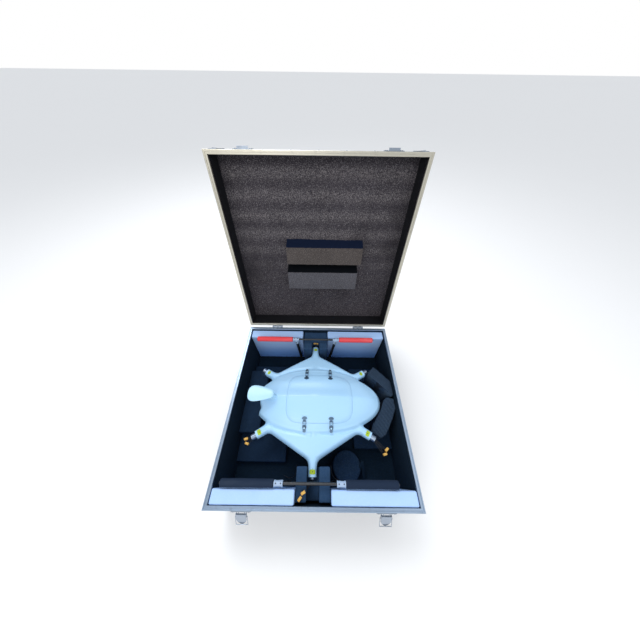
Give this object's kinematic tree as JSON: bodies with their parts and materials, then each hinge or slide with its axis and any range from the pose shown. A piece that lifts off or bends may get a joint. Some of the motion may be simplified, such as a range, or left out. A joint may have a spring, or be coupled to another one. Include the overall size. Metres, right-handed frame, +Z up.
{
  "type": "multirotor drone in flight case",
  "caption": "Open flight case with foam lining and hinged lid, holding a stowed multirotor hull with arm sockets, its landing gear and accessory boxes.",
  "frame": {"origin": "centre of the case's flat underside, on the floor", "axes": "+Z up, +X towards the aircraft's nose (the case's right side from the front), +Y towards the lid hinges"},
  "size_m": [0.803, 1.1236, 1.069],
  "materials": {
    "laminate": "satin black laminate on plywood",
    "aluminium": "satin natural aluminium",
    "steel": "brushed stainless steel",
    "foam": "black closed-cell packing foam, matt",
    "lid_foam": "dark grey open-cell lid foam, speckled and matt",
    "wedge_foam": "charcoal laminated foam offcut, matt",
    "white_box": "matt white card-like plastic",
    "hull": "satin white painted composite",
    "pod": "satin white moulded plastic",
    "battery": "black shrink sleeve",
    "electronics": "matt black moulded plastic",
    "carbon": "satin carbon-fibre tube",
    "tee": "matt light grey painted metal and tube",
    "float_red": "matt red foam sleeve",
    "float_black": "matt black foam sleeve"
  },
  "bodies": {
    "case": {"case_tray": "laminate", "case_rim": "aluminium", "case_liner": "foam", "hinge_left_case_leaf": "steel", "hinge_right_case_leaf": "steel", "latch_left_plate": "steel", "latch_right_plate": "steel", "cradle_front": "foam", "cradle_rear": "foam", "wedge_rear": "wedge_foam", "wedge_front": "wedge_foam"},
    "lid": {"lid_shell": "laminate", "lid_rim": "aluminium", "lid_liner": "lid_foam", "hinge_left_lid_leaf": "steel", "hinge_right_lid_leaf": "steel", "catch_left": "steel", "catch_right": "steel"},
    "latch_left_lever": {"latch_left_lever": "steel"},
    "latch_left_bail": {"latch_left_bail": "steel"},
    "latch_right_lever": {"latch_right_lever": "steel"},
    "latch_right_bail": {"latch_right_bail": "steel"},
    "box_rear_left": {"box_rear_left": "white_box"},
    "box_rear_right": {"box_rear_right": "white_box"},
    "box_front_left": {"box_front_left": "white_box"},
    "box_front_right": {"box_front_right": "white_box"},
    "drone": {"hull_lower": "hull", "hull_upper": "hull", "gps_pod": "pod", "battery_pack": "battery", "flight_controller": "electronics", "arm_socket_1": "aluminium", "arm_socket_2": "aluminium", "arm_socket_3": "aluminium", "arm_socket_4": "aluminium", "arm_socket_5": "aluminium", "arm_socket_6": "aluminium", "hull_latch_1_base": "steel", "hull_latch_2_base": "steel", "hull_latch_3_base": "steel", "hull_latch_4_base": "steel"},
    "hatch": {"hatch": "hull"},
    "hull_latch_1_lever": {"hull_latch_1_lever": "steel"},
    "hull_latch_1_bail": {"hull_latch_1_bail": "steel"},
    "hull_latch_2_lever": {"hull_latch_2_lever": "steel"},
    "hull_latch_2_bail": {"hull_latch_2_bail": "steel"},
    "hull_latch_3_lever": {"hull_latch_3_lever": "steel"},
    "hull_latch_3_bail": {"hull_latch_3_bail": "steel"},
    "hull_latch_4_lever": {"hull_latch_4_lever": "steel"},
    "hull_latch_4_bail": {"hull_latch_4_bail": "steel"},
    "skid_rear": {"skid_rear_tube": "carbon", "skid_rear_leg_left": "tee", "skid_rear_leg_right": "tee", "skid_rear_float_left": "float_red", "skid_rear_float_right": "float_red"},
    "skid_front": {"skid_front_tube": "carbon", "skid_front_leg_left": "tee", "skid_front_leg_right": "tee", "skid_front_float_left": "float_black", "skid_front_float_right": "float_black"}
  },
  "joints": [
    {"name": "lid_hinge", "type": "hinge", "parent": "case", "child": "lid", "pos_m": [0, 0.4105, 0.2634], "axis": [-1, 0, 0], "range_deg": [-102, 0]},
    {"name": "latch_left_lever_turn", "type": "hinge", "parent": "case", "child": "latch_left_lever", "pos_m": [-0.262, -0.413, 0.245], "axis": [-1, 0, 0], "range_deg": [-32, 0]},
    {"name": "latch_left_bail_turn", "type": "hinge", "parent": "latch_left_lever", "child": "latch_left_bail", "pos_m": [-0.262, -0.42, 0.23758], "axis": [1, 0, 0], "range_deg": [-178.7, 0]},
    {"name": "latch_right_lever_turn", "type": "hinge", "parent": "case", "child": "latch_right_lever", "pos_m": [0.262, -0.413, 0.245], "axis": [-1, 0, 0], "range_deg": [-32, 0]},
    {"name": "latch_right_bail_turn", "type": "hinge", "parent": "latch_right_lever", "child": "latch_right_bail", "pos_m": [0.262, -0.42, 0.23758], "axis": [1, 0, 0], "range_deg": [-178.7, 0]},
    {"name": "box_rear_left_lift", "type": "slide", "parent": "case", "child": "box_rear_left", "axis": [0, 0, 1], "range_m": [0, 0.24]},
    {"name": "box_rear_right_lift", "type": "slide", "parent": "case", "child": "box_rear_right", "axis": [0, 0, 1], "range_m": [0, 0.24]},
    {"name": "box_front_left_lift", "type": "slide", "parent": "case", "child": "box_front_left", "axis": [0, 0, 1], "range_m": [0, 0.24]},
    {"name": "box_front_right_lift", "type": "slide", "parent": "case", "child": "box_front_right", "axis": [0, 0, 1], "range_m": [0, 0.24]},
    {"name": "drone_lift", "type": "slide", "parent": "case", "child": "drone", "axis": [0, 0, 1], "range_m": [0, 0.36]},
    {"name": "hatch_lift", "type": "slide", "parent": "drone", "child": "hatch", "axis": [0, 0, 1], "range_m": [0, 0.12]},
    {"name": "hull_latch_1_lever_turn", "type": "hinge", "parent": "drone", "child": "hull_latch_1_lever", "pos_m": [-0.051, -0.12514, 0.25011], "axis": [-1, 0, 0], "range_deg": [0, 80]},
    {"name": "hull_latch_1_bail_turn", "type": "hinge", "parent": "hatch", "child": "hull_latch_1_bail", "pos_m": [-0.051, -0.10625, 0.25544], "axis": [-1, 0, 0], "range_deg": [0, 95]},
    {"name": "hull_latch_2_lever_turn", "type": "hinge", "parent": "drone", "child": "hull_latch_2_lever", "pos_m": [0.07, -0.12517, 0.24675], "axis": [-1, 0, 0], "range_deg": [0, 80]},
    {"name": "hull_latch_2_bail_turn", "type": "hinge", "parent": "hatch", "child": "hull_latch_2_bail", "pos_m": [0.07, -0.10636, 0.25236], "axis": [-1, 0, 0], "range_deg": [0, 95]},
    {"name": "hull_latch_3_lever_turn", "type": "hinge", "parent": "drone", "child": "hull_latch_3_lever", "pos_m": [-0.051, 0.12514, 0.25011], "axis": [1, 0, 0], "range_deg": [0, 80]},
    {"name": "hull_latch_3_bail_turn", "type": "hinge", "parent": "hatch", "child": "hull_latch_3_bail", "pos_m": [-0.051, 0.10625, 0.25544], "axis": [1, 0, 0], "range_deg": [0, 95]},
    {"name": "hull_latch_4_lever_turn", "type": "hinge", "parent": "drone", "child": "hull_latch_4_lever", "pos_m": [0.07, 0.12517, 0.24675], "axis": [1, 0, 0], "range_deg": [0, 80]},
    {"name": "hull_latch_4_bail_turn", "type": "hinge", "parent": "hatch", "child": "hull_latch_4_bail", "pos_m": [0.07, 0.10636, 0.25236], "axis": [1, 0, 0], "range_deg": [0, 95]},
    {"name": "skid_rear_lift", "type": "slide", "parent": "case", "child": "skid_rear", "axis": [0, 0, 1], "range_m": [0, 0.26]},
    {"name": "skid_front_lift", "type": "slide", "parent": "case", "child": "skid_front", "axis": [0, 0, 1], "range_m": [0, 0.26]}
  ],
  "couplings": [
    {"joint": "latch_left_bail_turn", "follows": "latch_left_lever_turn", "ratio": 5.5828},
    {"joint": "latch_right_bail_turn", "follows": "latch_right_lever_turn", "ratio": 5.5828}
  ]
}
